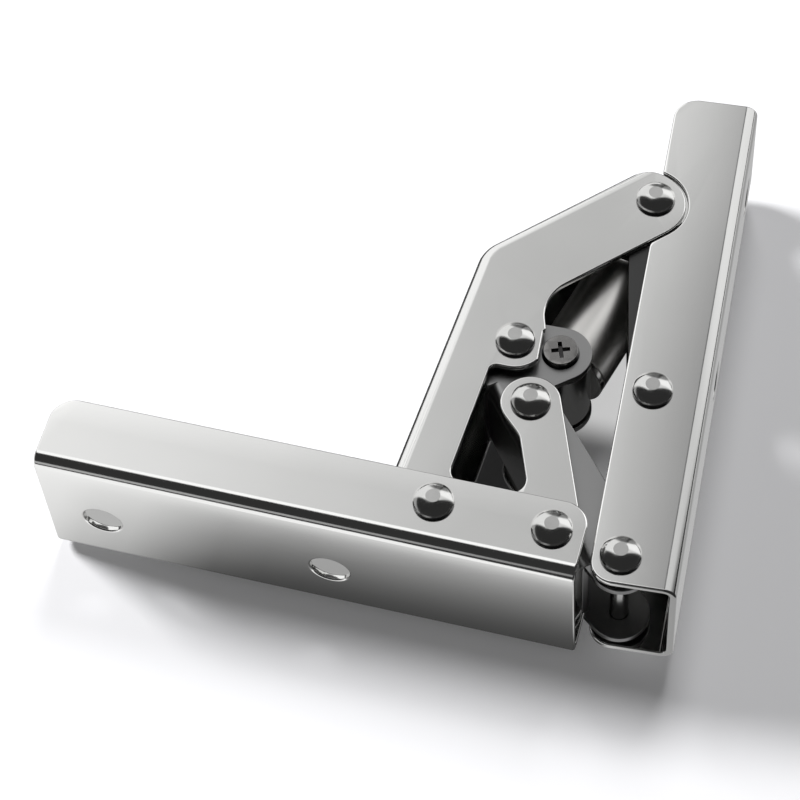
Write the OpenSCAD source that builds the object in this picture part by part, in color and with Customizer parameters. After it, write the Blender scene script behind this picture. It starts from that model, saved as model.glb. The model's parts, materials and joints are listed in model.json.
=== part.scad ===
// Folding table bracket: two steel channels joined by a seven-pivot crossing-lever hinge
// with a hydraulic strut inside. Drawn in its upright, locked position, lying on the
// formed ends of the two longest rivets. All sizes are millimetres and degrees.
//
// Drawing axes: X runs along the fixed arm and is zero at its hinge end, Y is zero on the
// outer face of the fixed arm's web, Z is zero on the mid-plane between the two sides.
// module seated() moves everything so that the origin is at the centre of the underside.

/* [Fixed arm] */
// Length of the fixed arm
arm_length = 120; // [104:1:200]
// Width over the flanges of the fixed arm
arm_width = 36.5; // [34:0.5:42]
// Depth of the fixed arm's flanges, from the web's outer face
flange_depth = 17.1; // [16.6:0.1:18]
// Radius of the flanges' free corners on both arms
corner_r = 5.6; // [3:0.1:6]

/* [Folding arm] */
// Length of the folding arm
folding_length = 129.8; // [125:0.1:200]
// Depth of the folding arm's flanges
folding_depth = 18.96; // [18.5:0.02:19.6]
// Lean of the folding arm from square to the fixed arm
lean = 3.72; // [3.4:0.02:4]
// Distance from the hinge corner to the folding arm's web, across the arm
folding_web = 21.36; // [21:0.02:22]
// Height of the folding arm's lower end above the fixed arm's outer face
folding_lift = 1.38; // [1.1:0.02:1.7]

/* [Sheet] */
// Thickness of all the pressed sheet
sheet = 1.6; // [1.3:0.05:1.8]
// Outside radius of the bends
bend_r = 3; // [2.4:0.1:3.2]
// Thickness of the washers between the fixed arm and the levers
washer_t = 1.5; // [1.2:0.05:1.8]
// Running play between faces that slide on each other
play = 0.1; // [0.05:0.01:0.2]

/* [Screw holes] */
// Diameter of the screw holes in both webs
hole_d = 9; // [5:0.5:11]
// Distance between the two holes of a web
hole_pitch = 52.4; // [30:0.1:60]
// Distance from an arm's free end to its first hole
hole_inset = 13; // [9:0.5:20]
// Distance of the holes from the mid-plane, towards the underside
hole_drop = 2.75; // [0:0.05:6]

/* [Pivots] */
// Long lever's foot pivot: distance in from the hinge end
foot_x = 32.89; // [32.3:0.01:33.5]
// Long lever's foot pivot: height above the web's outer face
foot_y = 10.2; // [9.9:0.05:10.7]
// Short lever's foot pivot: distance in from the hinge end
short_x = 7.05; // [6.6:0.01:7.4]
// Short lever's foot pivot: height
short_y = 9.62; // [9.5:0.01:10.1]
// Crossing pivot of the long lever and the cross link: distance in
cross_x = 26.53; // [26.2:0.01:26.9]
// Crossing pivot: height
cross_y = 56.07; // [55.7:0.01:56.5]
// Short lever's upper pivot: distance in
neck_x = 19.43; // [19.1:0.01:19.7]
// Short lever's upper pivot: height
neck_y = 41.3; // [41:0.01:41.6]
// Strut screw: distance in
screw_x = 16.5; // [16.2:0.05:16.8]
// Strut screw: height
screw_y = 57.1; // [56.8:0.05:57.4]
// Long lever's end pivot: distance in
end_x = 4.71; // [4.4:0.01:5]
// Long lever's end pivot: height
end_y = 100.82; // [100.4:0.01:101.3]
// Inner link's pivot on the folding arm: distance out
link_x = 5.66; // [5.4:0.01:5.9]
// Inner link's pivot on the folding arm: height
link_y = 50.17; // [49.9:0.01:50.5]
// Cross link's pivot on the folding arm: distance out
heel_x = 7.96; // [7.7:0.01:8.2]
// Cross link's pivot on the folding arm: height
heel_y = 8.66; // [8.5:0.01:8.9]

/* [Long lever] */
// Angle of the long lever's back edge
back_a = 85.93; // [85:0.1:87]
// Distance of the back edge from the foot pivot
back_off = 12; // [11.4:0.1:12.4]
// Distance of the strip's window edge from the foot pivot
strip_off = 0.3; // [0:0.1:1]
// Angle of the long lever's upper arm
reach_a = 45; // [44:0.1:46]
// Radius of the long lever's end
end_r = 9.4; // [9.4:0.1:9.8]
// Distance of that end's centre from its pivot, to the left
end_left = 2.2; // [2:0.1:2.4]
// Distance of that end's centre from its pivot, downwards
end_down = 1.7; // [1.5:0.1:1.9]
// Distance of the upper edge from that centre
reach_top = 9.4; // [8.4:0.1:9.4]
// Radius of the lobe round the crossing pivot
lobe_r = 7.1; // [6.8:0.1:7.2]
// Distance from the strut screw to the cut that lets a driver past the lobe
lobe_cut = 4; // [3.6:0.1:4.2]
// Radius of the knee on the back edge
knee_r = 9; // [6:0.5:12]

/* [Short lever] */
// Radius of the short lever's upper end
neck_r = 6.7; // [6.2:0.1:6.9]
// Radius of the short lever's foot
foot_r = 6.6; // [6:0.1:6.7]
// Distance of the neck's window edge from the lever's centre line
neck_edge = 3.6; // [3.2:0.1:4.4]

/* [Cross link] */
// Radius of the cross link's heel end
heel_r = 6.7; // [6.4:0.1:6.8]
// Radius round the strut screw
screw_lug_r = 7; // [6.6:0.1:7.2]
// Radius round the crossing pivot
cross_r = 7.8; // [7.4:0.1:8]
// Angle of the cross link's right-hand edge
right_a = 130.9; // [130:0.1:132]
// Distance of the bent edge from the short lever's upper pivot
spine_off = 6.23; // [6.1:0.01:6.5]
// Distance of the bent edge's line from the heel pivot
spine_heel = 7.5; // [7.3:0.05:7.8]
// Distance from the bent edge's lower end to the heel pivot, along the edge
spine_stop = 2.9; // [2:0.1:4]

/* [Inner link] */
// Radius of the inner link's end on the folding arm
link_r = 5.2; // [4.5:0.1:5.4]
// Wall round the inner link's free opening
link_wall = 1.5; // [1.2:0.1:1.6]

/* [Rivets] */
// Radius of the rivets' thick part
shank_r = 2; // [1.6:0.05:2.1]
// Radius of the rivets' thin end
tail_r = 1.4; // [1:0.05:1.5]
// Depth of the rivets' shoulder inside the cross link's lower plate
shoulder_in = 0.65; // [0.3:0.05:1]
// Radius of the rivets' heads
head_r = 4.4; // [3.8:0.05:4.7]
// Height of a head's straight skirt
skirt_h = 0.9; // [0.5:0.1:1.2]
// Rise of a head's dome above its skirt
dome_h = 1.9; // [1.2:0.1:2.4]
// Radius of the flat on top of a head
flat_r = 1.35; // [0.8:0.05:2]
// Radius of the formed ends
formed_r = 4; // [3.4:0.1:4.2]
// Height of the formed ends
formed_h = 1.6; // [1:0.1:2]
// Radius of the washers
washer_r = 4.6; // [4:0.1:5]
// Radius of the small washers and spacers inside the folding arm
spacer_r = 3.6; // [3:0.1:3.8]
// Radial clearance of pins in their holes
fit = 0.05; // [0.02:0.01:0.08]

/* [Strut] */
// Largest outside radius of the strut's tube
tube_most = 8.9; // [8.4:0.05:8.9]
// Gap between the strut's foot and the cross link's plates
foot_gap = 1.15; // [1:0.05:1.6]
// Wall of the tube
tube_wall = 1.2; // [0.9:0.1:1.5]
// Distance of the tube's lower end from the strut screw
tube_start = 4; // [3.6:0.1:5]
// Length of the tube
tube_length = 27.4; // [24:0.1:27.6]
// Length of the tube's rolled-in upper end
rolled_length = 2; // [1:0.1:2.5]
// Depth by which that end is rolled in
rolled_depth = 0.8; // [0.4:0.1:0.9]
// Length of the gland that closes the tube
gland_h = 4; // [3:0.5:6]
// Length of the seal in the gland
seal_h = 1.2; // [0.8:0.1:2]
// Length of the piston
piston_h = 6; // [4:0.5:8]
// Distance of the piston from the tube's lower end
piston_in = 15; // [12:0.5:15.5]
// Radius of the piston rod
rod_r = 2.5; // [2:0.1:3]
// Radius of the cross pin through the strut's foot
pin_r = 3.5; // [3.2:0.1:3.8]
// Radius of the foot round the cross pin
foot_lug_r = 6.6; // [6:0.1:7]
// Half width of the rod's eye
eye_half = 5.5; // [4:0.1:7]
// Wall round the eye's opening
eye_wall = 2; // [1.6:0.1:2.2]
// Depth of the threaded holes in the cross pin
thread_depth = 6.5; // [6:0.1:7]
// Radius of the strut screw's thread
thread_r = 2; // [1.6:0.1:2.2]
// Radius of the strut screw's head
screw_head_r = 4.25; // [3.8:0.05:4.6]
// Height of the strut screw's head
screw_head_h = 1.6; // [1.2:0.05:1.65]

/* [Hidden] */
$fn = 96;
arc_step = 7.5;

// Layers, as distances of their outer faces from the mid-plane
half = arm_width / 2;
lever_z = half - sheet - washer_t - play;
link_z = lever_z - sheet - play;
cross_z = link_z - sheet - play;
inside_z = cross_z - sheet;
shoulder_z = cross_z - shoulder_in;
underside = half + formed_h;

// Pivot centres
foot_p = [-foot_x, foot_y];
short_p = [-short_x, short_y];
cross_p = [-cross_x, cross_y];
neck_p = [-neck_x, neck_y];
screw_p = [-screw_x, screw_y];
end_p = [-end_x, end_y];
link_p = [link_x, link_y];
heel_p = [heel_x, heel_y];

// Folding arm: its own corner marks, turned by the lean
folding_top = folding_lift + folding_length;
free_edge = folding_web - folding_depth;
left_x = -arm_length;
right_x = at_lean([folding_web, folding_lift])[0];
top_y = at_lean([folding_web, folding_top])[1];

// Long lever's end and the notch in the folding arm that it rests in
end_c = end_p - [end_left, end_down];
notch_gap = 0.5;
ledge_y = flange_depth + 1;
foot_clear = 1.5;

// Free openings of the three opened pivots: their far ends and radii
fork_end = [3.4, -7.4];
fork_r = shank_r + 1;
link_open = [-4.9, -5.7];
link_open_r = shank_r + 2.6;
eye_open = 3.9;
eye_shift = 0.75;
eye_open_r = shank_r + 1;

// Strut: its own axis, from the strut screw to the long lever's end pivot
strut_a = heading(screw_p, end_p);
strut_length = norm(end_p - screw_p);
foot_z = inside_z - foot_gap;
tube_r = min(tube_most, foot_z);
tube_end = tube_start + tube_length;
bore_r = tube_r - tube_wall;
piston_z = tube_start + piston_in;
seal_r = rod_r + 1.6;
rod_end_r = rod_r - 0.5;
thread_gap = 0.5;

// Points and angles
function dir(a) = [cos(a), sin(a)];
function heading(a, b) = atan2(b[1] - a[1], b[0] - a[0]);
function unit(v) = v / norm(v);
function at_lean(p) = [cos(lean) * p[0] - sin(lean) * p[1], sin(lean) * p[0] + cos(lean) * p[1]];
function cross2(u, v) = u[0] * v[1] - u[1] * v[0];

// Point where the line through p at angle a meets the line through q at angle b
function meet(p, a, q, b) = p + dir(a) * cross2(q - p, dir(b)) / cross2(dir(a), dir(b));

// Points of an arc that turns anticlockwise from angle a0 to a1
function arc(c, r, a0, a1) =
    let (turn = a1 - a0 - 360 * floor((a1 - a0) / 360), n = ceil(turn / arc_step))
    [for (i = [0:n]) c + r * dir(a0 + turn * i / n)];

// Points that round the corner p, between its neighbours a and b, to radius r
function rounded(a, p, b, r) =
    let (
        u = unit(a - p),
        v = unit(b - p),
        opening = acos(u * v) / 2,
        c = p + unit(u + v) * r / sin(opening),
        a0 = heading(c, p + u * r / tan(opening)),
        a1 = heading(c, p + v * r / tan(opening)),
        turn = (a1 - a0 + 540) % 360 - 180,
        n = ceil(abs(turn) / arc_step)
    )
    [for (i = [0:n]) c + r * dir(a0 + turn * i / n)];

// Outline of a list of corners [point, radius], radius 0 for a sharp one
function outline(k) = [
    for (i = [0:len(k) - 1])
        let (a = k[(i + len(k) - 1) % len(k)][0], b = k[(i + 1) % len(k)][0])
        each (k[i][1] > 0 ? rounded(a, k[i][0], b, k[i][1]) : [k[i][0]])
];

// Angle at which the outer tangent from circle a to circle b leaves circle a
function leave(a, b) = heading(a[0], b[0]) - acos((a[1] - b[1]) / norm(b[0] - a[0]));

// Outline of a belt round circles [centre, radius], listed anticlockwise
function belt(k) = [
    for (i = [0:len(k) - 1])
        let (a = k[(i + len(k) - 1) % len(k)], b = k[(i + 1) % len(k)])
        each arc(k[i][0], k[i][1], leave(a, k[i]), leave(k[i], b))
];

// Shared shapes
module seated() {
    translate([-(left_x + right_x) / 2, -top_y / 2, underside])
        children();
}

module both_sides() {
    children();
    mirror([0, 0, 1])
        children();
}

// A plate of the sheet with its outer face at height z
module plate(z) {
    translate([0, 0, z - sheet])
        linear_extrude(sheet)
            children();
}

// Stepped bore for a rivet: wide above the shoulder, narrow below it
module bore(p) {
    translate([p[0], p[1], -shoulder_z])
        cylinder(r = shank_r + fit, h = shoulder_z + arm_width);
    translate([p[0], p[1], -arm_width])
        cylinder(r = tail_r + fit, h = arm_width);
}

// Section of a channel, web on the Y axis, flanges along X
module channel(width, depth) {
    w = width / 2;
    inner = bend_r - sheet;
    polygon(outline([
        [[0, -w], bend_r], [[depth, -w], 0], [[depth, sheet - w], 0],
        [[sheet, sheet - w], inner], [[sheet, w - sheet], inner],
        [[depth, w - sheet], 0], [[depth, w], 0], [[0, w], bend_r]
    ]));
}

// Waste at the outside of a bend, for a body whose faces are at z and -z
module bend_waste(z) {
    for (s = [-1, 1])
        scale([1, s])
            difference() {
                translate([-1, z - bend_r])
                    square([1 + bend_r, bend_r + 1]);
                translate([bend_r, z - bend_r])
                    circle(r = bend_r);
            }
}

// Runs a section along the line from a to b, with the body on the left
module along(a, b) {
    translate([a[0], a[1], 0])
        rotate([0, 0, heading(a, b)])
            rotate([90, 0, 90])
                linear_extrude(norm(b - a))
                    children();
}

// Domed head that stands on z = 0
module dome(r, skirt, rise, flat) {
    drop = (r * r - flat * flat - rise * rise) / (2 * rise);
    intersection() {
        translate([0, 0, skirt - drop])
            sphere(r = sqrt(r * r + drop * drop));
        cylinder(r = r, h = skirt + rise);
    }
}

// Rivet through p whose head sits on a plate with its outer face at z
module rivet(p, z) {
    translate([p[0], p[1], 0])
        color([0.8, 0.8, 0.8]) {
            translate([0, 0, -shoulder_z])
                cylinder(r = shank_r, h = shoulder_z + z);
            translate([0, 0, -z])
                cylinder(r = tail_r, h = z);
            translate([0, 0, z])
                dome(head_r, skirt_h, dome_h, flat_r);
            translate([0, 0, -z])
                mirror([0, 0, 1])
                    dome(formed_r, 0.3, formed_h - 0.3, flat_r);
        }
}

// Fixed arm: a channel with two screw holes in its web
module fixed_arm() seated() color([0.78, 0.78, 0.78])
    difference() {
        intersection() {
            translate([-arm_length, 0, 0])
                rotate([90, 0, 90])
                    linear_extrude(arm_length)
                        channel(arm_width, flange_depth);
            linear_extrude(2 * arm_width, center = true)
                polygon(outline([
                    [[left_x, -1], 0], [[0, -1], 0],
                    [[0, flange_depth], corner_r], [[left_x, flange_depth], corner_r]
                ]));
        }
        bore(foot_p);
        bore(short_p);
        for (x = [hole_inset, hole_inset + hole_pitch])
            translate([left_x + x, -1, -hole_drop])
                rotate([-90, 0, 0])
                    cylinder(d = hole_d, h = sheet + 2);
    }

// Folding arm: a channel, notched for the long lever's end
module folding_arm_plan() {
    notch_low = end_c + (end_r + notch_gap) * dir(reach_a - 90);
    difference() {
        polygon(outline([
            [at_lean([folding_web + 1, folding_lift]), 0],
            [at_lean([folding_web + 1, folding_top]), 0],
            [at_lean([free_edge, folding_top]), corner_r],
            [meet(end_c, reach_a + 90, at_lean([free_edge, 0]), 90 + lean), 0],
            [end_c, 0],
            [notch_low, 0],
            [meet(notch_low, reach_a, at_lean([free_edge, 0]), 90 + lean), 2],
            [at_lean([free_edge, folding_lift]), corner_r - 0.6]
        ]));
        translate(end_c)
            circle(r = end_r + notch_gap);
    }
}

module folding_arm() seated() color([0.8, 0.8, 0.8])
    difference() {
        intersection() {
            rotate([0, 0, lean])
                translate([folding_web, folding_top, 0])
                    rotate([90, 0, 0])
                        linear_extrude(folding_length)
                            mirror([1, 0])
                                channel(2 * lever_z, folding_depth);
            linear_extrude(2 * arm_width, center = true)
                folding_arm_plan();
        }
        bore(link_p);
        bore(heel_p);
        for (y = [hole_inset, hole_inset + hole_pitch])
            rotate([0, 0, lean])
                translate([folding_web + 1, folding_top - y, -hole_drop])
                    rotate([0, -90, 0])
                        cylinder(d = hole_d, h = sheet + 2);
    }

// Long lever: a bent channel with a forked foot, a lobe and a round end
lever_back = foot_p - [back_off, 0];
reach_edge = end_c + reach_top * dir(reach_a + 90);
knee = meet(reach_edge, reach_a, lever_back, back_a);
back_low = meet(lever_back, back_a, [0, sheet + foot_clear], 0);
lobe_side = 19.3;
// Angle at which the knee's arc crosses the straight edges
knee_skew = 4;
// Distances of the web's end, and of the end of the bend's cut, from the round end's tangent
spine_short = 2.6;
spine_past = 8;

module lever_plan() {
    strip = foot_p + [strip_off, 0];
    strip_a = back_a + 0.7;
    toe_r = foot_p[1] - sheet - foot_clear;
    toe_x = foot_p[0] + toe_r;
    lobe_low = cross_p - [0, lobe_r];
    reach_low = end_c + end_r * dir(reach_a - 90);
    lobe_edge = cross_p + lobe_r * dir(lobe_side);
    pit = meet(reach_low, reach_a, lobe_edge, lobe_side + 90);
    cut = screw_p[0] - lobe_cut - cross_p[0];
    cut_top = meet(lobe_edge, lobe_side + 90, [cross_p[0] + cut, 0], 90)[1];
    polygon(concat(
        arc(end_c, end_r, reach_a - 90, reach_a + 90 - acos(reach_top / end_r)),
        [knee],
        rounded(knee, back_low, [toe_x, back_low[1]], 5),
        arc(foot_p, toe_r, -90, 0),
        rounded([toe_x, 0], [toe_x, ledge_y], [back_low[0], ledge_y], 2.5),
        rounded([toe_x, ledge_y], meet(strip, strip_a, [0, ledge_y], 0), lobe_low + [-4, 0], 3.2),
        rounded(strip, meet(strip, strip_a, lobe_low, 0), lobe_low, 1.8),
        arc(cross_p, lobe_r, -90, -acos(cut / lobe_r)),
        rounded(cross_p, [cross_p[0] + cut, cut_top], pit, 1),
        rounded([cross_p[0] + cut, cut_top], pit, reach_low, 10)
    ));
}

module main_lever() seated() color([0.76, 0.76, 0.76]) {
    spine_top = reach_edge - spine_short * dir(reach_a);
    in_top = spine_top + sheet * dir(reach_a - 90);
    in_knee = meet(in_top, reach_a, lever_back + sheet * dir(back_a - 90), back_a);
    spine_low = back_low + 5 * dir(back_a);
    in_low = spine_low + sheet * dir(back_a - 90);
    knee_depth = knee_r * cos(knee_skew) / cos((back_a - reach_a) / 2);
    knee_c = knee + unit(dir(back_a + 180) + dir(reach_a)) * knee_depth;
    difference() {
        union() {
            both_sides()
                plate(lever_z)
                    lever_plan();
            linear_extrude(2 * lever_z - sheet, center = true)
                polygon(concat(
                    [spine_top, knee, spine_low, in_low],
                    rounded(in_low, in_knee, in_top, knee_r - sheet),
                    [in_top]
                ));
        }
        along(reach_edge + spine_past * dir(reach_a), knee)
            bend_waste(lever_z);
        along(knee, back_low)
            bend_waste(lever_z);
        translate([knee_c[0], knee_c[1], 0])
            rotate([0, 0, reach_a + 90])
                rotate_extrude(angle = back_a - reach_a)
                    translate([knee_r, 0]) {
                        translate([0, -half])
                            square([knee_r, 2 * half]);
                        mirror([1, 0])
                            bend_waste(lever_z);
                    }
        linear_extrude(2 * arm_width, center = true)
            polygon(belt([[foot_p, fork_r], [foot_p + fork_end, fork_r]]));
        bore(cross_p);
        bore(end_p);
    }
}

// Short lever: two flat plates, each with a toe beside its foot
module short_plan() {
    a = heading(short_p, neck_p);
    b = a + 115;
    edge = short_p + neck_edge * dir(a + 90);
    side = neck_p + neck_r * dir(b);
    waist = meet(side, b + 90, edge, a);
    ledge = meet(edge, a, [0, ledge_y], 0);
    toe_x = short_p[0] - 10.9;
    low_y = short_p[1] - foot_r;
    polygon(concat(
        arc(short_p, foot_r, -90, leave([short_p, foot_r], [neck_p, neck_r])),
        arc(neck_p, neck_r, leave([short_p, foot_r], [neck_p, neck_r]), b),
        rounded(side, waist, ledge, 6),
        rounded(waist, ledge, [toe_x, ledge_y], 3.2),
        rounded(ledge, [toe_x, ledge_y], [toe_x, low_y], 2.5),
        rounded([toe_x, ledge_y], [toe_x, low_y], short_p - [0, foot_r], 5)
    ));
}

module short_lever(side) seated() color([0.76, 0.76, 0.76])
    difference() {
        scale([1, 1, side])
            plate(lever_z)
                short_plan();
        bore(short_p);
        bore(neck_p);
    }

module short_lever_upper() short_lever(1);

module short_lever_lower() short_lever(-1);

// Cross link: a channel bent along its lower left edge
spine_a = heading(heel_p, neck_p) - asin((spine_heel - spine_off) / norm(neck_p - heel_p));
spine_mark = neck_p + spine_off * dir(spine_a + 90);
spine_n = dir(spine_a + 90);
spine_end = heel_p + spine_n * (spine_n * (spine_mark - heel_p)) + spine_stop * dir(spine_a);
cross_side = cross_p + cross_r * dir(200);
spine_start = meet(spine_mark, spine_a, cross_side, 110);

module cross_plan() {
    lug = screw_p + screw_lug_r * dir(-50);
    edge = heel_p + heel_r * dir(right_a - 90);
    reach = norm(spine_end - heel_p);
    polygon(concat(
        arc(heel_p, heel_r, heading(heel_p, spine_end) + acos(heel_r / reach), right_a - 90),
        rounded(edge, meet(edge, right_a, lug, 40), lug, 1.5),
        arc(screw_p, screw_lug_r, -50, leave([screw_p, screw_lug_r], [cross_p, cross_r])),
        arc(cross_p, cross_r, leave([screw_p, screw_lug_r], [cross_p, cross_r]), 200),
        rounded(cross_side, spine_start, spine_end, 5),
        [spine_end]
    ));
}

module cross_link() seated() color([0.5, 0.5, 0.52]) {
    top = spine_start - 2 * dir(spine_a);
    inward = sheet * dir(spine_a - 90);
    difference() {
        union() {
            both_sides()
                plate(cross_z)
                    cross_plan();
            linear_extrude(2 * cross_z - sheet, center = true)
                polygon([top, spine_end, spine_end + inward, top + inward]);
        }
        along(top + 0.5 * dir(spine_a), spine_end - 0.5 * dir(spine_a))
            bend_waste(cross_z);
        bore(cross_p);
        bore(neck_p);
        bore(heel_p);
        translate([screw_p[0], screw_p[1], -arm_width])
            cylinder(r = thread_r + fit, h = 2 * arm_width);
    }
}

// Inner link: two flat plates hidden inside the folding arm
module inner_link(side) seated() color([0.7, 0.7, 0.7]) {
    ring_r = link_open_r + link_wall;
    difference() {
        scale([1, 1, side])
            plate(link_z)
                difference() {
                    union() {
                        polygon(belt([[end_p, ring_r], [end_p + link_open, ring_r]]));
                        polygon(belt([[link_p, link_r], [end_p, ring_r]]));
                    }
                    polygon(belt([[end_p, link_open_r], [end_p + link_open, link_open_r]]));
                }
        bore(link_p);
    }
}

module inner_link_upper() inner_link(1);

module inner_link_lower() inner_link(-1);

// Rivets
module rivet_lever_foot() seated() rivet(foot_p, half);

module rivet_short_foot() seated() rivet(short_p, half);

module rivet_crossing() seated() rivet(cross_p, lever_z);

module rivet_short_neck() seated() rivet(neck_p, lever_z);

module rivet_lever_end() seated() rivet(end_p, lever_z);

module rivet_arm_link() seated() rivet(link_p, lever_z);

module rivet_arm_heel() seated() rivet(heel_p, lever_z);

// Washers: a pair on each rivet that has a free layer between its plates
module washer(z, r, hole) {
    difference() {
        translate([0, 0, z])
            cylinder(r = r, h = washer_t);
        translate([0, 0, -arm_width])
            cylinder(r = hole, h = 2 * arm_width);
    }
}

// Pair of washers on the rivet at p, with their outer faces at z and -z
module washers(p, z, r) seated() color([0.7, 0.7, 0.7])
    translate([p[0], p[1], 0]) {
        washer(z - washer_t, r, shank_r + fit);
        washer(-z, r, tail_r + fit);
    }

module washers_lever_foot() washers(foot_p, half - sheet, washer_r);

module washers_short_foot() washers(short_p, half - sheet, washer_r);

module washers_crossing() washers(cross_p, lever_z - sheet - play, washer_r);

module washers_short_neck() washers(neck_p, lever_z - sheet - play, washer_r);

module washers_arm_heel() washers(heel_p, lever_z - sheet - play, spacer_r);

// Spacers that keep the strut's eye in the middle of its rivet
module spacers_lever_end() seated() color([0.6, 0.6, 0.62])
    both_sides()
        translate([end_p[0], end_p[1], eye_half + play])
            difference() {
                cylinder(r = spacer_r, h = link_z - sheet - eye_half - 2 * play);
                translate([0, 0, -1])
                    cylinder(r = shank_r + fit, h = link_z);
            }

// Strut: its own axes run from the strut screw towards the lever's end pivot
module on_strut() {
    translate([screw_p[0], screw_p[1], 0])
        rotate([0, 0, strut_a])
            children();
}

// Round bar on the strut's axis, from x to x + h
module bar(r, x, h) {
    translate([x, 0, 0])
        rotate([0, 90, 0])
            cylinder(r = r, h = h);
}

module strut_tube() seated() color([0.72, 0.72, 0.74])
    on_strut()
        difference() {
            union() {
                bar(tube_r, tube_start, tube_length - rolled_length);
                translate([tube_end - rolled_length, 0, 0])
                    rotate([0, 90, 0])
                        cylinder(r1 = tube_r, r2 = tube_r - rolled_depth, h = rolled_length);
            }
            bar(bore_r, tube_start - 1, tube_length + 2);
        }

module strut_foot() seated() color([0.66, 0.66, 0.68])
    on_strut()
        difference() {
            union() {
                intersection() {
                    translate([0, 0, -foot_z])
                        cylinder(r = foot_lug_r, h = 2 * foot_z);
                    bar(2 * foot_z, tube_start - 1 - 2 * foot_z, 2 * foot_z);
                }
                bar(tube_r, tube_start - 1.5, 1.5);
                bar(bore_r - fit, tube_start - 1, 6);
            }
            translate([0, 0, -arm_width])
                cylinder(r = pin_r + fit, h = 2 * arm_width);
        }

module strut_gland() seated() color([0.66, 0.66, 0.68])
    on_strut()
        difference() {
            bar(bore_r - fit, tube_end - gland_h, gland_h);
            bar(rod_r + fit, tube_end - gland_h - 1, gland_h + 2);
            bar(seal_r, tube_end - gland_h - 1, 1 + seal_h);
        }

module strut_seal() seated() color([0.1, 0.1, 0.1])
    on_strut()
        difference() {
            bar(seal_r, tube_end - gland_h, seal_h);
            bar(rod_r + fit, tube_end - gland_h - 1, seal_h + 2);
        }

module strut_piston() seated() color([0.6, 0.58, 0.5])
    on_strut()
        difference() {
            bar(bore_r - fit, piston_z, piston_h);
            bar(rod_end_r, piston_z - 1, piston_h + 2);
        }

module strut_rod() seated() color([0.85, 0.85, 0.86])
    on_strut() {
        bar(rod_end_r, piston_z - 1, piston_h + 2);
        bar(rod_r, piston_z + piston_h, eye_neck - piston_z - piston_h);
    }

// Rod's eye: a block with an opening that leaves the end rivet free
eye_r = eye_open_r + eye_wall;
eye_far = [strut_length - eye_open, eye_shift];
eye_neck = strut_length - eye_open - eye_r + 1;

module strut_eye() seated() color([0.6, 0.6, 0.62])
    on_strut()
        difference() {
            linear_extrude(2 * eye_half, center = true)
                difference() {
                    polygon(belt([[eye_far, eye_r], [[strut_length, 0], eye_r]]));
                    polygon(belt([[eye_far, eye_open_r], [[strut_length, 0], eye_open_r]]));
                }
            bar(rod_r, eye_neck - 6, 6);
        }

// Cross pin that the strut's foot turns on, threaded at both ends
module strut_pin() seated() color([0.62, 0.62, 0.64])
    translate([screw_p[0], screw_p[1], 0])
        difference() {
            cylinder(r = pin_r, h = 2 * inside_z, center = true);
            both_sides()
                translate([0, 0, inside_z - thread_depth])
                    cylinder(r = thread_r + fit, h = thread_depth + 1);
        }

module strut_screw() {
    translate([0, 0, inside_z - thread_depth + thread_gap])
        cylinder(r = thread_r, h = thread_depth - thread_gap + sheet + screw_head_h / 2);
    difference() {
        translate([0, 0, cross_z])
            cylinder(r1 = screw_head_r, r2 = screw_head_r - 0.4, h = screw_head_h);
        for (a = [0, 90])
            rotate([0, 0, a + 20])
                translate([-2.1, -0.45, cross_z + screw_head_h - 1])
                    cube([4.2, 0.9, 2]);
    }
}

module strut_screws() seated() color([0.6, 0.6, 0.6])
    translate([screw_p[0], screw_p[1], 0])
        both_sides()
            strut_screw();

fixed_arm();
folding_arm();
main_lever();
short_lever_upper();
short_lever_lower();
cross_link();
inner_link_upper();
inner_link_lower();
rivet_lever_foot();
rivet_short_foot();
rivet_crossing();
rivet_short_neck();
rivet_lever_end();
rivet_arm_link();
rivet_arm_heel();
washers_lever_foot();
washers_short_foot();
washers_crossing();
washers_short_neck();
washers_arm_heel();
spacers_lever_end();
strut_tube();
strut_foot();
strut_gland();
strut_seal();
strut_piston();
strut_rod();
strut_eye();
strut_pin();
strut_screws();
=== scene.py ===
import json
from math import asin, atan2, cos, degrees, hypot, pi, radians, sin

import bmesh
import bpy
from mathutils import Matrix, Vector

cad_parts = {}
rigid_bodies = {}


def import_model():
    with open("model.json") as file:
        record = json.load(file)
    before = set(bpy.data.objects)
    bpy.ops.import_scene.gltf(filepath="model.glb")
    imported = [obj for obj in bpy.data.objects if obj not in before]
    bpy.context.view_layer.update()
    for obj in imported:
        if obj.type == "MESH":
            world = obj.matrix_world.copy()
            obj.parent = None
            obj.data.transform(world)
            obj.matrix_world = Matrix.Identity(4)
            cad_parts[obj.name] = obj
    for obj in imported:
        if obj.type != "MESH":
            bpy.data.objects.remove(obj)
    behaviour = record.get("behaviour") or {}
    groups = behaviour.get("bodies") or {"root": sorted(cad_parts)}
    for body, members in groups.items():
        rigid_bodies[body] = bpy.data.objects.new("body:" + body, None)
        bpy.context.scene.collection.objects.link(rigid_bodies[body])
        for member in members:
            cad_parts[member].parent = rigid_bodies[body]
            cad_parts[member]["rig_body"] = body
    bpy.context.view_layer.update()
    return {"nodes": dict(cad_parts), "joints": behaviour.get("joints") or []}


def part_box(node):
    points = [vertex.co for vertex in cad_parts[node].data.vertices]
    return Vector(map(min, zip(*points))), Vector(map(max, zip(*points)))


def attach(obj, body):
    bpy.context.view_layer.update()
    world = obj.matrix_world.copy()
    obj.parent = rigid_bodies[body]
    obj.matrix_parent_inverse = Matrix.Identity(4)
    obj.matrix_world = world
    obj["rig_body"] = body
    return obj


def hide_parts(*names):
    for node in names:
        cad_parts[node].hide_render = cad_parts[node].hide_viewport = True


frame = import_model()


# Fixed arm. A strip of stainless sheet, blanked, pressed into a channel and polished along its
# length. Two screw holes are pierced in its web, and the press has rolled every cut edge over.
flat_angle = radians(0.4)
cut_angle = radians(40)
crease_angle = radians(38)
arm_rim = 0.00045


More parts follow.
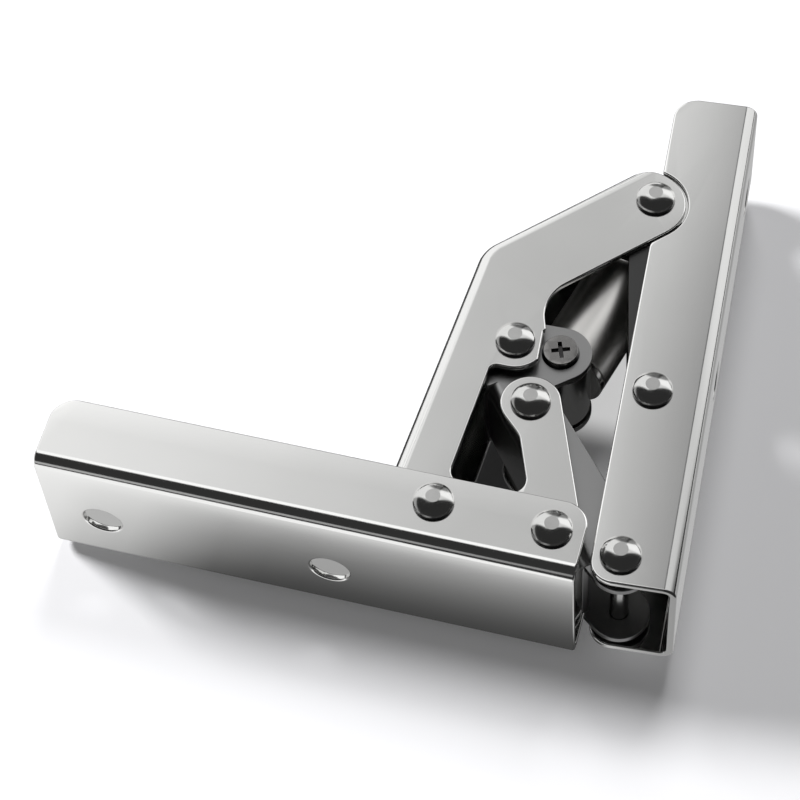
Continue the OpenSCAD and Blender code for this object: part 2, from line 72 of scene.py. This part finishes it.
def refill_flats(shape):
    """Fill each large flat again, from its outline and its holes, so that no seam between them
    crosses a rounded rim."""
    same_corner, most_corners, small_flat = 0.0000005, 12, 0.000002
    bmesh.ops.remove_doubles(shape, verts=shape.verts, dist=same_corner)
    shape.normal_update()
    shape.edges.index_update()
    seen = set()
    regions = []
    for start in shape.faces:
        if start in seen or len(start.verts) <= most_corners or start.calc_area() <= small_flat:
            continue
        seen.add(start)
        region, queue = [start], [start]
        while queue:
            for edge in queue.pop().edges:
                for face in edge.link_faces:
                    if face in seen or len(face.verts) <= 4 or edge.calc_face_angle() >= flat_angle:
                        continue
                    seen.add(face)
                    region.append(face)
                    queue.append(face)
        regions.append(region)
    for region in regions:
        inside = set(region)
        outward = max(region, key=lambda f: f.calc_area()).normal.copy()
        edges = sorted({e for f in region for e in f.edges}, key=lambda e: e.index)
        seams = [e for e in edges if inside.issuperset(e.link_faces)]
        outline = [e for e in edges if not inside.issuperset(e.link_faces)]
        for face in region:
            shape.faces.remove(face)
        for seam in seams:
            shape.edges.remove(seam)
        made = bmesh.ops.triangle_fill(shape, use_beauty=True, edges=outline, normal=outward)
        for face in made["geom"]:
            if isinstance(face, bmesh.types.BMFace) and face.normal.dot(outward) < 0:
                face.normal_flip()


def place_piece(name, mesh, node):
    """Put a finished mesh into the scene in place of a node of the frame, on the node's body."""
    piece = bpy.data.objects.new(name, mesh)
    bpy.context.scene.collection.objects.link(piece)
    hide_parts(node)
    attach(piece, frame["nodes"][node]["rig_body"])
    return piece


def pressed(node, rim, material, nick=None):
    """A pressing: the node's sheet metal with its cut edges rounded over by rim. nick gives
    (left, front, right, back) of a thin nick in its outline, whose edges stay as cut."""
    same_corner = 0.000002
    shape = bmesh.new()
    shape.from_mesh(frame["nodes"][node].data)
    bmesh.ops.remove_doubles(shape, verts=shape.verts, dist=same_corner)
    bmesh.ops.dissolve_limit(
        shape, angle_limit=flat_angle, verts=shape.verts, edges=shape.edges
    )
    cut_edges = [
        e for e in shape.edges if len(e.link_faces) == 2 and e.calc_face_angle() > cut_angle
    ]
    if nick:
        left, front, right, back = nick
        in_nick = {v for v in shape.verts if left < v.co.x < right and front < v.co.y < back}
        cut_edges = [e for e in cut_edges if in_nick.isdisjoint(e.verts)]
    bmesh.ops.bevel(
        shape, geom=cut_edges, affect="EDGES", offset=rim, segments=3, profile=0.5, material=-1
    )
    refill_flats(shape)
    mesh = bpy.data.meshes.new(node + "_pressing")
    shape.to_mesh(mesh)
    shape.free()
    mesh.shade_smooth()
    mesh.set_sharp_from_angle(angle=crease_angle)
    mesh.materials.append(material)
    piece = place_piece(node + "_pressing", mesh, node)
    flats = piece.modifiers.new("flats stay flat", "WEIGHTED_NORMAL")
    flats.keep_sharp = True


def new_metal(name):
    """A bare metal material, with its node tree, its shader and its object coordinates."""
    material = bpy.data.materials.new(name)
    material.use_nodes = True
    tree = material.node_tree
    metal = tree.nodes["Principled BSDF"]
    metal.inputs["Metallic"].default_value = 1.0
    place = tree.nodes.new("ShaderNodeTexCoord").outputs["Object"]
    return material, tree, metal, place


def run_between(tree, value, run):
    """A value turned from (start, stop) into (first, last), with run giving all four."""
    step = tree.nodes.new("ShaderNodeMapRange")
    for socket, number in zip(("From Min", "From Max", "To Min", "To Max"), run):
        step.inputs[socket].default_value = number
    tree.links.new(value, step.inputs["Value"])
    return step


def noise(tree, place, scale, detail):
    """A fine random pattern over the piece."""
    pattern = tree.nodes.new("ShaderNodeTexNoise")
    pattern.inputs["Scale"].default_value = scale
    pattern.inputs["Detail"].default_value = detail
    tree.links.new(place, pattern.inputs["Vector"])
    return pattern.outputs["Fac"]


def between_shades(tree, factor, first, second):
    """A colour between two shades."""
    tone = tree.nodes.new("ShaderNodeMix")
    tone.data_type = "RGBA"
    tone.inputs["A"].default_value = (*first, 1)
    tone.inputs["B"].default_value = (*second, 1)
    tree.links.new(factor, tone.inputs["Factor"])
    return tone.outputs["Result"]


def scaled(tree, colour, factor):
    """A colour made lighter or darker by a factor."""
    shaded = tree.nodes.new("ShaderNodeVectorMath")
    shaded.operation = "SCALE"
    tree.links.new(colour, shaded.inputs[0])
    tree.links.new(factor, shaded.inputs["Scale"])
    return shaded.outputs["Vector"]


def painted_shading_along(tree, colour, place, axis, run):
    """Painted light and shade: a colour scaled along one axis, run giving (start, stop, tone there,
    tone here).
    """
    if run is None:
        return colour
    parts = tree.nodes.new("ShaderNodeSeparateXYZ")
    tree.links.new(place, parts.inputs["Vector"])
    return scaled(tree, colour, run_between(tree, parts.outputs[axis], run).outputs["Result"])


def engrave(tree, metal, pattern, strength, deep):
    """Fine relief in the surface, from a pattern."""
    relief = tree.nodes.new("ShaderNodeBump")
    relief.inputs["Strength"].default_value = strength
    relief.inputs["Distance"].default_value = deep
    tree.links.new(pattern, relief.inputs["Height"])
    tree.links.new(relief.outputs["Normal"], metal.inputs["Normal"])


def polished_sheet(name, shade, roughness, turn, grain=0.35, across=None, low=None):
    """Polished sheet: fine marks along one direction, turn, and soft hand-buffed patches.
    across gives (start, stop, tone at start, tone at stop), measured square to that direction,
    and low gives the same by height; both paint light and shade into the colour."""
    mark_length, mark_scale, mark_detail, mark_depth = 0.02, 9000, 3, 0.000004
    patch_scale, patch_detail, patch_shade, mark_roughness = 55, 4, 0.94, 0.06
    material, tree, metal, place = new_metal(name)
    along = tree.nodes.new("ShaderNodeMapping")
    along.inputs["Rotation"].default_value = (0, 0, -turn)
    tree.links.new(place, along.inputs["Vector"])
    along = along.outputs["Vector"]
    stretch = tree.nodes.new("ShaderNodeMapping")
    stretch.inputs["Scale"].default_value = (mark_length, 1.0, 1.0)
    tree.links.new(along, stretch.inputs["Vector"])
    marks = noise(tree, stretch.outputs["Vector"], mark_scale, mark_detail)
    patches = noise(tree, along, patch_scale, patch_detail)

    colour = between_shades(tree, patches, [c * patch_shade for c in shade], shade)
    # Painted light and shade, across the sheet and by height
    colour = painted_shading_along(tree, colour, along, "Y", across)
    colour = painted_shading_along(tree, colour, along, "Z", low)
    tree.links.new(colour, metal.inputs["Base Color"])

    gloss = run_between(tree, patches, (0, 1, roughness * 0.8, roughness * 1.2))
    scuffs = tree.nodes.new("ShaderNodeMath")
    scuffs.operation = "MULTIPLY_ADD"
    scuffs.inputs[1].default_value = mark_roughness
    tree.links.new(marks, scuffs.inputs[0])
    tree.links.new(gloss.outputs["Result"], scuffs.inputs[2])
    tree.links.new(scuffs.outputs["Value"], metal.inputs["Roughness"])
    engrave(tree, metal, marks, grain, mark_depth)
    return material


# Painted light and shade: lighter towards the back of the arm, and darker low in the channel, over
# the lower flange and the foot of the web.
arm_metal = polished_sheet(
    "polished fixed arm", (0.80, 0.80, 0.79), 0.10, 0,
    across=(-0.0555, -0.0495, 1, 1.15), low=(0.0034, 0.0045, 0.6, 1)
)
pressed("fixed_arm", arm_rim, arm_metal)


# Folding arm. The same channel a little narrower, so that its flanges lie in line with the
# levers, leaning back from square. Its free corner is notched for the long lever's round end.
folding_turn = radians(90 + 3.72)
# Painted light and shade: the colour is lighter on the arm's left side and darker towards its right
# edge.
folding_metal = polished_sheet(
    "polished folding arm", (0.82, 0.82, 0.81), 0.10, folding_turn,
    across=(-0.048, -0.0663, 1.12, 0.62)
)
pressed("folding_arm", arm_rim, folding_metal)


# Long lever. Two plates and the web that joins them, pressed from one blank. It is forked round
# the foot rivet and carries the crossing rivet, and the strut pulls on its round end.
lever_rim = 0.00042
lever_metal = polished_sheet("polished long lever", (0.78, 0.78, 0.77), 0.10, radians(62))
pressed("main_lever", lever_rim, lever_metal)


# Short levers. A pair of flat stampings outside the cross link, each with a toe that lies on the
# fixed arm's edge. They are blanked and polished like the long lever, with a nick above the toe.
short_metal = polished_sheet("polished short lever", (0.80, 0.80, 0.79), 0.10, radians(75))
toe_nick = (0.0300, -0.0489, 0.0345, -0.0479)
pressed("short_lever_upper", lever_rim, short_metal, nick=toe_nick)
pressed("short_lever_lower", lever_rim, short_metal, nick=toe_nick)


# Cross link. A darker, satin channel inside the levers, from the folding arm's heel to the
# crossing rivet, with a round lug on each side for the strut's screws.
cross_rim = 0.0002
link_metal = polished_sheet("satin cross link", (0.31, 0.31, 0.31), 0.28, radians(128))
pressed("cross_link", cross_rim, link_metal)


# Inner links. Two flat stampings inside the folding arm, that tie it to the long lever's end.
# They are painted near black, standing in for the shade inside the folding arm, and not polished.
inner_rim = 0.00018
inner_metal = polished_sheet("inner link painted dark as shade", (0.07, 0.07, 0.07), 0.34, radians(102))
pressed("inner_link_upper", inner_rim, inner_metal)
pressed("inner_link_lower", inner_rim, inner_metal)


# Rivets. Turned from bar, with a bright domed head that has a small flat on top, a stepped
# shank, and an end that is formed over on the other side when the bracket is put together.
def turned(name, outline, place, material, node, crisp=35, dark=None):
    """A turned piece: an outline of (radius, height) spun about its own axis, then put in place.
    dark gives (low, high, material) for a band of heights that is painted dark as shade."""
    same_corner, steps = 0.0000008, 72
    shape = bmesh.new()
    points = [shape.verts.new((r, 0, h)) for r, h in outline]
    lines = [shape.edges.new(pair) for pair in zip(points, points[1:])]
    bmesh.ops.spin(
        shape, geom=points + lines, cent=(0, 0, 0), axis=(0, 0, 1), angle=2 * pi, steps=steps,
        use_merge=True
    )
    bmesh.ops.remove_doubles(shape, verts=shape.verts, dist=same_corner)
    bmesh.ops.recalc_face_normals(shape, faces=shape.faces)
    if dark:
        for face in shape.faces:
            face.material_index = int(dark[0] < face.calc_center_median().z < dark[1])
    shape.transform(place)
    mesh = bpy.data.meshes.new(name)
    shape.to_mesh(mesh)
    shape.free()
    mesh.shade_smooth()
    mesh.set_sharp_from_angle(angle=radians(crisp))
    mesh.materials.append(material)
    if dark:
        mesh.materials.append(dark[2])
    place_piece(name, mesh, node)


def bright_turned(name, shade, roughness, low=None):
    """Turned and burnished steel, with a faint haze. low gives (start, stop, tone at start,
    tone at stop) by height."""
    haze_scale, haze_detail, haze_shade, haze_relief, haze_depth = 420, 4, 0.92, 0.25, 0.000006
    material, tree, metal, place = new_metal(name)
    haze = noise(tree, place, haze_scale, haze_detail)
    colour = between_shades(tree, haze, [c * haze_shade for c in shade], shade)
    tree.links.new(painted_shading_along(tree, colour, place, "Z", low), metal.inputs["Base Color"])
    gloss = run_between(tree, haze, (0, 1, roughness * 0.75, roughness * 1.35))
    tree.links.new(gloss.outputs["Result"], metal.inputs["Roughness"])
    engrave(tree, metal, haze, haze_relief, haze_depth)
    return material


rivet_metal = bright_turned("burnished rivet", (0.64, 0.64, 0.63), 0.15)
# Painted shade: the skirt under each rivet head is near black, standing in for the shade where the
# head meets the plate.
skirt_shade_metal = bright_turned("rivet skirt painted as shade", (0.10, 0.10, 0.10), 0.35)
mid_plane = 0.01985
shoulder = mid_plane - 0.011
head_r, skirt, rise, flat_r, head_lip = 0.0044, 0.0009, 0.0019, 0.0016, 0.00012
formed_r, formed_h, formed_skirt, formed_lip = 0.004, 0.0016, 0.0003, 0.00008
shank_r, tail_r = 0.002, 0.0014


def dome(r, wall, height, flat, lip):
    """Outline of a domed head from its wall's foot to its axis, with a rounded wall edge."""
    edge_turn, facets = 3.5, 14
    drop = (r * r - flat * flat - height * height) / (2 * height)
    ball = hypot(r, drop)
    low = degrees(asin(drop / ball)) + edge_turn
    high = degrees(atan2(drop + height, flat))
    turns = [radians(low + (high - low) * i / facets) for i in range(facets + 1)]
    cap = [(ball * cos(a), wall - drop + ball * sin(a)) for a in turns]
    return [(r - lip, 0), (r, lip), (r, wall - lip)] + cap + [(0, wall + height)]


def rivet(node):
    """A rivet from its formed end below to its domed head on top, on the node's own axis."""
    low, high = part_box(node)
    foot = low.z + formed_h
    seat = high.z - skirt - rise
    head = [(r, seat + h) for r, h in dome(head_r, skirt, rise, flat_r, head_lip)]
    formed_rise = formed_h - formed_skirt
    tail = [
        (r, foot - h) for r, h in dome(formed_r, formed_skirt, formed_rise, flat_r, formed_lip)
    ]
    shank = [(tail_r, foot), (tail_r, shoulder), (shank_r, shoulder), (shank_r, seat)]
    place = Matrix.Translation(((low.x + high.x) / 2, (low.y + high.y) / 2, 0))
    # The head's skirt takes the painted shade.
    turned(
        node + "_turned", tail[::-1] + shank + head, place, rivet_metal, node,
        crisp=9, dark=(seat, seat + skirt - head_lip, skirt_shade_metal)
    )


for node in sorted(frame["nodes"]):
    if node.startswith("rivet_"):
        rivet(node)


# Washers and spacers. Plain blanked rings on the rivets, wherever the stack of plates leaves a
# gap, and two turned spacers that keep the strut's eye in the middle.
washer_rim = 0.00012
washer_metal = bright_turned("plain washer", (0.56, 0.56, 0.56), 0.28)
for node in sorted(frame["nodes"]):
    if node.startswith(("washers_", "spacers_")):
        pressed(node, washer_rim, washer_metal)


# Strut. A sealed oil damper: a drawn tube, rolled in over its gland, turned end fittings, a
# plated rod and a piston with its seal. It lies between the cross link and the long lever's end.
strut_joints = {j["name"]: j for j in frame["joints"] if j["name"] in ("strut_turn", "rod_slide")}
strut_foot = Vector(strut_joints["strut_turn"]["pos_m"])
strut_foot.z = mid_plane
strut_dir = -Vector(strut_joints["rod_slide"]["axis"])
strut_turn = atan2(strut_dir.y, strut_dir.x)
on_strut = (
    Matrix.Translation(strut_foot)
    @ Matrix.Rotation(strut_turn, 4, "Z")
    @ Matrix.Rotation(pi / 2, 4, "Y")
)
tube_r, tube_wall, tube_low, tube_long, tube_lip = 0.0089, 0.0012, 0.004, 0.0274, 0.0003
rolled_long, rolled_deep = 0.002, 0.0008
tube_top = tube_low + tube_long
tube_bore = tube_r - tube_wall
rolled_rim = [
    (tube_r - rolled_deep * (1 - cos(radians(a))), tube_top - rolled_long * (1 - sin(radians(a))))
    for a in (0, 20, 40, 60, 80, 90)
]
tube_metal = polished_sheet("drawn strut tube", (0.74, 0.73, 0.71), 0.32, strut_turn, grain=0.8)
turned(
    "strut_tube_drawn",
    [(tube_bore, tube_low), (tube_r - tube_lip, tube_low), (tube_r, tube_low + tube_lip)]
    + rolled_rim + [(tube_bore, tube_top), (tube_bore, tube_low)],
    on_strut, tube_metal, "strut_tube"
)
fitting_rim, rod_rim = 0.0002, 0.0001
fitting_metal = bright_turned("turned fitting", (0.60, 0.60, 0.59), 0.2)
for node in ("strut_foot", "strut_gland", "strut_eye"):
    pressed(node, fitting_rim, fitting_metal)
rod_metal = bright_turned("plated rod", (0.84, 0.84, 0.85), 0.05)
pressed("strut_rod", rod_rim, rod_metal)
piston_metal = bright_turned("turned brass piston", (0.66, 0.52, 0.28), 0.25)
pressed("strut_piston", fitting_rim, piston_metal)


# Piston seal. A black rubber ring in the piston's groove, moulded, with a dull bloom on it. It
# runs against the tube's bore and is out of sight.
seal_rim = 0.0001
bloom_scale, bloom_detail, bloom_dullness = 900, 2, (0, 1, 0.55, 0.75)
rubber = bpy.data.materials.new("black seal rubber")
rubber.use_nodes = True
rubber_skin = rubber.node_tree.nodes["Principled BSDF"]
rubber_skin.inputs["Base Color"].default_value = (0.02, 0.02, 0.02, 1)
rubber_place = rubber.node_tree.nodes.new("ShaderNodeTexCoord").outputs["Object"]
bloom = noise(rubber.node_tree, rubber_place, bloom_scale, bloom_detail)
dullness = run_between(rubber.node_tree, bloom, bloom_dullness)
rubber.node_tree.links.new(dullness.outputs["Result"], rubber_skin.inputs["Roughness"])
pressed("strut_seal", seal_rim, rubber)


# Strut pin and screws. The strut's foot turns on a plain pin, held in the cross link by a short
# cross-recess screw from each side. The screws are plated a darker grey than the sheet.
pin_rim, screw_rim = 0.0002, 0.00012
# Painted shade: below the height of the upper screw's recess floor the colour is darkened to a
# tenth, so the recess and everything lower in this finish is near black.
recess_shade = (0.0322, 0.0329, 0.1, 1)
screw_metal = bright_turned("plated screw", (0.26, 0.255, 0.25), 0.2, low=recess_shade)
pressed("strut_pin", pin_rim, screw_metal)
pressed("strut_screws", screw_rim, screw_metal)


# Floor. A plain white table that takes the bracket's shadow, with painted light and painted shade
# on it. Its mirror image in the polished steel is a painted reflection, drawn apart: bright out on
# the table, with painted shade close under the arms and to the right.
def sum_up(tree, operation, first, second):
    """One arithmetic step on two values, each a socket or a number."""
    maths = tree.nodes.new("ShaderNodeMath")
    maths.operation = operation
    for slot, value in enumerate((first, second)):
        if isinstance(value, (int, float)):
            maths.inputs[slot].default_value = value
        else:
            tree.links.new(value, maths.inputs[slot])
    return maths.outputs["Value"]


def soft_step(tree, value, start, stop, low, high):
    """A smooth step of value, from low at start to high at stop."""
    step = run_between(tree, value, (start, stop, low, high))
    step.interpolation_type = "SMOOTHSTEP"
    return step.outputs["Result"]


def soft_box(tree, x, y, box, edge):
    """1 inside a box (x0, x1, y0, y1) that fades to 0 over edge outside it."""
    left, right, front, back = box
    wide = sum_up(
        tree, "MULTIPLY", soft_step(tree, x, left - edge, left, 0, 1),
        soft_step(tree, x, right, right + edge, 1, 0)
    )
    deep = sum_up(
        tree, "MULTIPLY", soft_step(tree, y, front - edge, front, 0, 1),
        soft_step(tree, y, back, back + edge, 1, 0)
    )
    return sum_up(tree, "MULTIPLY", wide, deep)


def traced(tree, value, marks):
    """A tone that runs straight from mark to mark, each mark a (value, tone)."""
    first, last = marks[0][0], marks[-1][0]
    top = max(tone for place, tone in marks)
    ramp = tree.nodes.new("ShaderNodeValToRGB")
    along = run_between(tree, value, (first, last, 0, 1))
    tree.links.new(along.outputs["Result"], ramp.inputs["Fac"])
    stops = ramp.color_ramp.elements
    for place, _ in marks[1:-1]:
        stops.new((place - first) / (last - first))
    for stop, (place, tone) in zip(stops, marks):
        stop.color = (tone / top, tone / top, tone / top, 1)
    return sum_up(tree, "MULTIPLY", ramp.outputs["Color"], top)


floor_r, floor_sides = 0.7, 64
floor_shape = bmesh.new()
bmesh.ops.create_circle(floor_shape, cap_ends=True, segments=floor_sides, radius=floor_r)
floor_mesh = bpy.data.meshes.new("floor")
floor_shape.to_mesh(floor_mesh)
floor_shape.free()
floor = bpy.data.objects.new("floor", floor_mesh)
bpy.context.scene.collection.objects.link(floor)
paper = bpy.data.materials.new("white floor")
paper.use_nodes = True
tree = paper.node_tree
paper_skin = tree.nodes["Principled BSDF"]
paper_skin.inputs["Roughness"].default_value = 0.9
paper_skin.inputs["Specular IOR Level"].default_value = 0
floor_place = tree.nodes.new("ShaderNodeTexCoord").outputs["Object"]
floor_parts = tree.nodes.new("ShaderNodeSeparateXYZ")
tree.links.new(floor_place, floor_parts.inputs["Vector"])
floor_x, floor_y = floor_parts.outputs["X"], floor_parts.outputs["Y"]

# Painted shade in the reflection, where the mirrored table lies under the bracket
before_web = traced(tree, floor_y, [
    (-0.091, 0), (-0.0865, 0.1), (-0.083, 0.6), (-0.078, 0.74), (-0.072, 0.88), (-0.067, 1),
    (0.0, 1), (0.016, 0)
])
beside_web = traced(tree, floor_x, [
    (-0.095, 0.2), (-0.075, 0.36), (-0.067, 0.5), (-0.056, 0.58), (-0.045, 0.75), (-0.035, 0.9),
    (-0.024, 0.97), (-0.014, 1), (0.052, 1), (0.058, 0)
])
under_fixed = sum_up(tree, "MULTIPLY", before_web, beside_web)
behind_arms = soft_box(tree, floor_x, floor_y, (-0.14, 0.052, -0.052, 0.13), 0.008)
under_folding = soft_box(tree, floor_x, floor_y, (-0.02, 0.054, -0.06, 0.08), 0.006)
under_both = sum_up(tree, "MAXIMUM", behind_arms, under_folding)
under = sum_up(tree, "MAXIMUM", under_fixed, under_both)

# Painted light in the reflection: how far the window's light reaches over the mirrored table,
# with a painted shadow to the right of the folding arm
lit_centre, lit_r, unlit_r, lit_tone, unlit_tone = (-0.25, 0.25, 0), 0.47, 0.48, 1.1, 0.02
reach = tree.nodes.new("ShaderNodeVectorMath")
reach.operation = "DISTANCE"
reach.inputs[1].default_value = lit_centre
tree.links.new(floor_place, reach.inputs[0])
lit = soft_step(tree, reach.outputs["Value"], lit_r, unlit_r, lit_tone, unlit_tone)
right_shadow = traced(tree, floor_x, [(0.05, 1), (0.058, 0.5), (0.12, 0.5), (0.17, 1)])
lit = sum_up(tree, "MULTIPLY", lit, right_shadow)
under_tone = 0.06
mirrored = sum_up(tree, "MULTIPLY", lit, soft_step(tree, under, 0, 1, 1, under_tone))

# The table seen directly: painted light by the gap beside the folding arm, painted shade in the
# window
camera_lift, gap_lift, window_shade = 0.08, 0.45, 0.85
painted_gap_light = soft_box(tree, floor_x, floor_y, (0.036, 0.046, -0.003, 0.012), 0.010)
painted_shade_in_window = soft_box(tree, floor_x, floor_y, (0.010, 0.027, -0.034, -0.010), 0.008)
glow_here = sum_up(tree, "ADD", camera_lift, sum_up(tree, "MULTIPLY", painted_gap_light, gap_lift))
shade_here = sum_up(
    tree, "SUBTRACT", 1, sum_up(tree, "MULTIPLY", painted_shade_in_window, window_shade)
)
ray = tree.nodes.new("ShaderNodeLightPath")
direct = sum_up(
    tree, "MULTIPLY", ray.outputs["Is Camera Ray"], sum_up(tree, "MULTIPLY", glow_here, shade_here)
)
glow = sum_up(
    tree, "ADD", direct, sum_up(tree, "MULTIPLY", ray.outputs["Is Glossy Ray"], mirrored)
)
# The table's colour: near black in reflections, so the steel mirrors only the painted reflection,
# and darkened by the painted shade under the window.
tint = between_shades(tree, ray.outputs["Is Glossy Ray"], (0.86, 0.86, 0.88), (0.02, 0.02, 0.02))
tree.links.new(scaled(tree, tint, shade_here), paper_skin.inputs["Base Color"])
paper_skin.inputs["Emission Color"].default_value = (1, 1, 1, 1)
tree.links.new(glow, paper_skin.inputs["Emission Strength"])
floor_mesh.materials.append(paper)


# Studio. A large soft lamp to the left throws the shadow. The steel mirrors the room: a bright
# ceiling behind, a grey panel in it that the flat faces mirror, and black on the camera's side.
def soft_lamp(name, place, size, power):
    """A round soft lamp that points at the bracket and isn't mirrored in it."""
    lamp = bpy.data.lights.new(name, "AREA")
    lamp.shape = "DISK"
    lamp.size = size
    lamp.energy = power
    aim = Vector((0, 0, 0.02)) - Vector(place)
    holder = bpy.data.objects.new(name, lamp)
    holder.location = place
    holder.rotation_euler = aim.to_track_quat("-Z", "Y").to_euler()
    holder.visible_glossy = False
    bpy.context.scene.collection.objects.link(holder)


soft_lamp("window", (-1.12, 0.27, 0.975), 0.5, 28)
soft_lamp("back light", (0, 0.75, 1.2), 0.5, 7.5)

room = bpy.data.worlds.new("room")
bpy.context.scene.world = room
room.use_nodes = True
tree = room.node_tree
air = tree.nodes["Background"]
air.inputs["Color"].default_value = (1, 1, 1, 1)
way = tree.nodes.new("ShaderNodeSeparateXYZ")
tree.links.new(tree.nodes.new("ShaderNodeTexCoord").outputs["Generated"], way.inputs["Vector"])
east, north, up = (way.outputs[axis] for axis in "XYZ")

# The panel that the flat faces mirror, from east to west, and its brighter front corner
panel = traced(tree, east, [
    (-0.5, 1.15), (-0.36, 1.15), (-0.31, 1.0), (-0.25, 0.88), (-0.21, 0.76), (-0.17, 0.66),
    (-0.12, 0.58), (-0.04, 0.54), (0.05, 0.45), (0.08, 0.1), (0.13, 0.1), (0.17, 1.0), (0.5, 1.0)
])
panel = sum_up(tree, "MULTIPLY", panel, soft_step(tree, north, 0.88, 0.94, 1, 0.25))
corner = sum_up(
    tree, "MULTIPLY", soft_step(tree, north, 0.565, 0.60, 0, 0.42),
    soft_step(tree, east, -0.125, -0.10, 0, 1)
)
panel = sum_up(tree, "MULTIPLY", panel, sum_up(tree, "ADD", corner, 1))

# The ceiling, from the front to the back, with a dark joint before the panel
ceiling = traced(tree, north, [
    (-0.2, 1.25), (0.34, 1.25), (0.44, 0), (0.64, 0), (0.73, 0.8), (0.88, 0.8), (0.94, 0)
])
behind = sum_up(tree, "MAXIMUM", panel, ceiling)

# The room on the camera's side, nearly black, with a little light low on the left
black = 0.035
low_front = traced(tree, east, [(-1, 0.5), (-0.3, 0.5), (-0.1, 0.3), (0.15, 0.05), (1, 0.05)])
low_front = sum_up(tree, "MULTIPLY", low_front, soft_step(tree, up, 0.20, 0.27, 1, 0))
in_front = sum_up(tree, "MAXIMUM", low_front, black)

# Where the bright side of the room begins, further back on the left and on the right
side_edge = traced(tree, east, [
    (-1, 0.42), (-0.82, 0.28), (-0.38, 0), (-0.1, 0), (0.72, 0.5), (1, 0.7)
])
back_share = soft_step(tree, sum_up(tree, "SUBTRACT", north, side_edge), -0.1, 0.02, 0, 1)
front_share = sum_up(tree, "SUBTRACT", 1, back_share)
mirrored_room = sum_up(
    tree, "ADD", sum_up(tree, "MULTIPLY", behind, back_share),
    sum_up(tree, "MULTIPLY", in_front, front_share)
)
ambient = 0.12
ray = tree.nodes.new("ShaderNodeLightPath")
plain_ray = sum_up(tree, "SUBTRACT", 1, ray.outputs["Is Glossy Ray"])
glow = sum_up(
    tree, "ADD", sum_up(tree, "MULTIPLY", plain_ray, ambient),
    sum_up(tree, "MULTIPLY", mirrored_room, ray.outputs["Is Glossy Ray"])
)
glow = sum_up(tree, "MAXIMUM", glow, ray.outputs["Is Camera Ray"])
tree.links.new(glow, air.inputs["Strength"])


# Camera. A long lens from the front right, looking down at the bracket, a little rolled, as in
# the photograph.
lens = bpy.data.cameras.new("camera")
lens.lens = 116.9
lens.sensor_width = 36
camera = bpy.data.objects.new("camera", lens)
camera_place = Vector((0.107614, -0.316991, 0.512920))
camera_aim = Vector((-0.001134, -0.022103, 0.020))
camera_roll = radians(-5.833)
look = (camera_aim - camera_place).to_track_quat("-Z", "Y").to_matrix().to_4x4()
camera.matrix_world = (
    Matrix.Translation(camera_place) @ look @ Matrix.Rotation(camera_roll, 4, "Z")
)
bpy.context.scene.collection.objects.link(camera)
bpy.context.scene.camera = camera
bpy.context.scene.view_settings.view_transform = "Standard"
